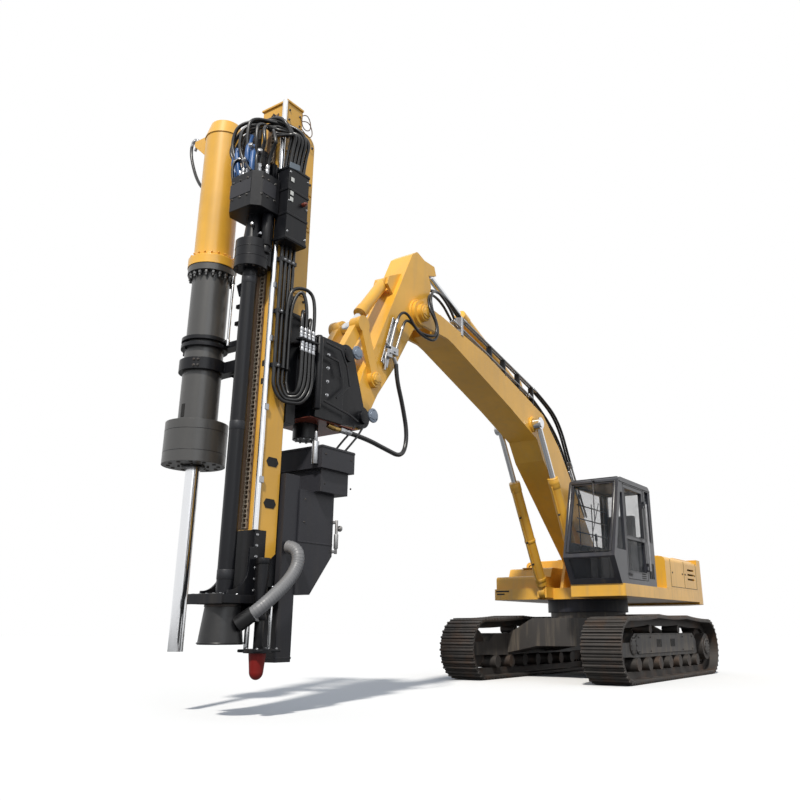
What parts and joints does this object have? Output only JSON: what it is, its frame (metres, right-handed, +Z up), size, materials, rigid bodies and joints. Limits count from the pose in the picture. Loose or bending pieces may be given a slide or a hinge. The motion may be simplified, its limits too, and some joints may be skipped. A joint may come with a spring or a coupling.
{
  "type": "rock drilling and splitting machine",
  "caption": "Tracked excavator whose arm carries a vertical rock-drill mast with a hydraulic splitting cylinder beside it, a dust collector and a foot spike.",
  "frame": {"origin": "on the ground under the slewing axis, midway between the tracks", "axes": "+X forward towards the mast, +Y to the machine's left (the cab's side), +Z up"},
  "size_m": [12.44, 3.3, 7.125],
  "materials": {
    "yellow_paint": "glossy",
    "cab_paint": "satin",
    "black_paint": "satin",
    "grey_paint": "satin",
    "track_steel": "worn",
    "chrome": "polished",
    "machined_steel": "machined",
    "chain_steel": "oiled",
    "rubber": "matt",
    "glass": "tinted",
    "seat_fabric": "woven",
    "red_tip": "worn",
    "console_plastic": "grained"
  },
  "bodies": {
    "undercarriage": {"carbody": "grey_paint", "slew_bearing": "grey_paint", "track_frames": "grey_paint", "track_left": "track_steel", "track_right": "track_steel", "sprockets": "track_steel", "idlers": "track_steel", "bottom_rollers": "track_steel", "carrier_rollers": "track_steel"},
    "upper": {"upper_frame": "yellow_paint", "counterweight": "yellow_paint", "engine_house": "yellow_paint", "engine": "grey_paint", "right_deck_box": "yellow_paint", "cab_shell": "cab_paint", "cab_glass": "glass", "cab_seat": "seat_fabric", "cab_consoles": "console_plastic"},
    "door": {"cab_door": "cab_paint", "door_glass": "glass"},
    "boom": {"boom": "yellow_paint", "boom_pipes": "machined_steel"},
    "boom_barrels": {"boom_cylinder_barrels": "yellow_paint"},
    "boom_rods": {"boom_cylinder_rods": "chrome"},
    "arm": {"arm": "yellow_paint", "arm_valve": "machined_steel"},
    "arm_barrel": {"arm_cylinder_barrel": "yellow_paint"},
    "arm_rod": {"arm_cylinder_rod": "chrome"},
    "tool_barrel": {"tool_cylinder_barrel": "yellow_paint"},
    "tool_rod": {"tool_cylinder_rod": "chrome"},
    "side_links": {"side_links": "yellow_paint"},
    "power_link": {"power_link": "yellow_paint"},
    "head": {"tool_head": "black_paint", "swing_drive": "black_paint"},
    "swing": {"swing_bracket": "black_paint", "guide_column": "yellow_paint", "collector_hood": "black_paint", "collector_filter": "black_paint", "collector_leg": "black_paint"},
    "mast": {"feed_beam": "yellow_paint", "beam_cap": "yellow_paint", "guide_bar": "chrome", "feed_chain": "chain_steel", "mast_foot": "black_paint", "dust_skirt": "rubber", "foot_jack": "black_paint", "foot_spike": "red_tip", "splitter_upper_barrel": "yellow_paint", "splitter_lower_barrel": "grey_paint", "splitter_collar": "grey_paint", "splitter_bands": "black_paint", "mast_hoses": "rubber", "hose_box": "black_paint", "dust_hose": "rubber"},
    "drill_carriage": {"rotary_head": "black_paint"},
    "drill_string": {"drill_pipe": "black_paint"},
    "splitting_rod": {"splitter_rod": "chrome"}
  },
  "joints": [
    {"name": "slew", "type": "hinge", "parent": "undercarriage", "child": "upper", "pos_m": [0, 0, 1.35], "axis": [0, 0, 1], "continuous": true},
    {"name": "door_hinge", "type": "hinge", "parent": "upper", "child": "door", "pos_m": [0.556, 1.457, 1.64], "axis": [0, 0, 1], "range_deg": [0, 95]},
    {"name": "boom_lift", "type": "hinge", "parent": "upper", "child": "boom", "pos_m": [0.1, 0, 2], "axis": [0, -1, 0], "range_deg": [-20, 20]},
    {"name": "boom_barrel_turn", "type": "hinge", "parent": "upper", "child": "boom_barrels", "pos_m": [1.06, 0, 1.48], "axis": [0, -1, 0], "range_deg": [-20.6, 20.6]},
    {"name": "boom_rod_slide", "type": "slide", "parent": "boom_barrels", "child": "boom_rods", "axis": [0.4775, 0, 0.8786], "range_m": [-0.386, 0.386]},
    {"name": "arm_swing", "type": "hinge", "parent": "boom", "child": "arm", "pos_m": [5.95, 0, 5.2], "axis": [0, -1, 0], "range_deg": [-25, 20]},
    {"name": "arm_barrel_turn", "type": "hinge", "parent": "boom", "child": "arm_barrel", "pos_m": [2.7, 0, 4.95], "axis": [0, -1, 0], "range_deg": [-0.9, 1]},
    {"name": "arm_rod_slide", "type": "slide", "parent": "arm_barrel", "child": "arm_rod", "axis": [0.9226, 0, 0.3858], "range_m": [-0.363, 0.451]},
    {"name": "head_tilt", "type": "hinge", "parent": "arm", "child": "head", "pos_m": [7.22, 0, 3.36], "axis": [0, 1, 0], "range_deg": [-20, 30]},
    {"name": "tool_barrel_turn", "type": "hinge", "parent": "arm", "child": "tool_barrel", "pos_m": [6.54, 0, 5.52], "axis": [0, -1, 0], "range_deg": [-5.6, 8.2]},
    {"name": "tool_rod_slide", "type": "slide", "parent": "tool_barrel", "child": "tool_rod", "axis": [0.6139, 0, -0.7894], "range_m": [-0.269, 0.399]},
    {"name": "side_links_turn", "type": "hinge", "parent": "arm", "child": "side_links", "pos_m": [6.96, 0, 3.94], "axis": [0, 1, 0], "range_deg": [-22.9, 34.2]},
    {"name": "power_link_turn", "type": "hinge", "parent": "head", "child": "power_link", "pos_m": [7.56, 0, 4.09], "axis": [0, -1, 0], "range_deg": [-19.4, 28.8]},
    {"name": "mast_swing", "type": "hinge", "parent": "head", "child": "swing", "pos_m": [8.3, 0, 3.65], "axis": [1, 0, 0], "range_deg": [-18, 18]},
    {"name": "mast_slide", "type": "slide", "parent": "swing", "child": "mast", "axis": [0, 0, -1], "range_m": [-0.9, 0]},
    {"name": "drill_feed", "type": "slide", "parent": "mast", "child": "drill_carriage", "axis": [0, 0, -1], "range_m": [0, 2.8]},
    {"name": "drill_spin", "type": "hinge", "parent": "drill_carriage", "child": "drill_string", "pos_m": [9.05, 0.04, 4.74], "axis": [0, 0, 1], "continuous": true},
    {"name": "rod_stroke", "type": "slide", "parent": "mast", "child": "splitting_rod", "axis": [0, 0, -1], "range_m": [-2.2, 0]}
  ],
  "couplings": [
    {"joint": "boom_barrel_turn", "follows": "boom_lift", "ratio": 1.0053},
    {"joint": "boom_rod_slide", "follows": "boom_lift", "m_per_rad": 1.0771},
    {"joint": "arm_barrel_turn", "follows": "arm_swing", "ratio": -0.0206},
    {"joint": "arm_rod_slide", "follows": "arm_swing", "m_per_rad": -1.0109},
    {"joint": "side_links_turn", "follows": "head_tilt", "ratio": 1.1225},
    {"joint": "power_link_turn", "follows": "head_tilt", "ratio": 0.9449},
    {"joint": "tool_barrel_turn", "follows": "head_tilt", "ratio": 0.2562},
    {"joint": "tool_rod_slide", "follows": "head_tilt", "m_per_rad": 0.7427}
  ]
}
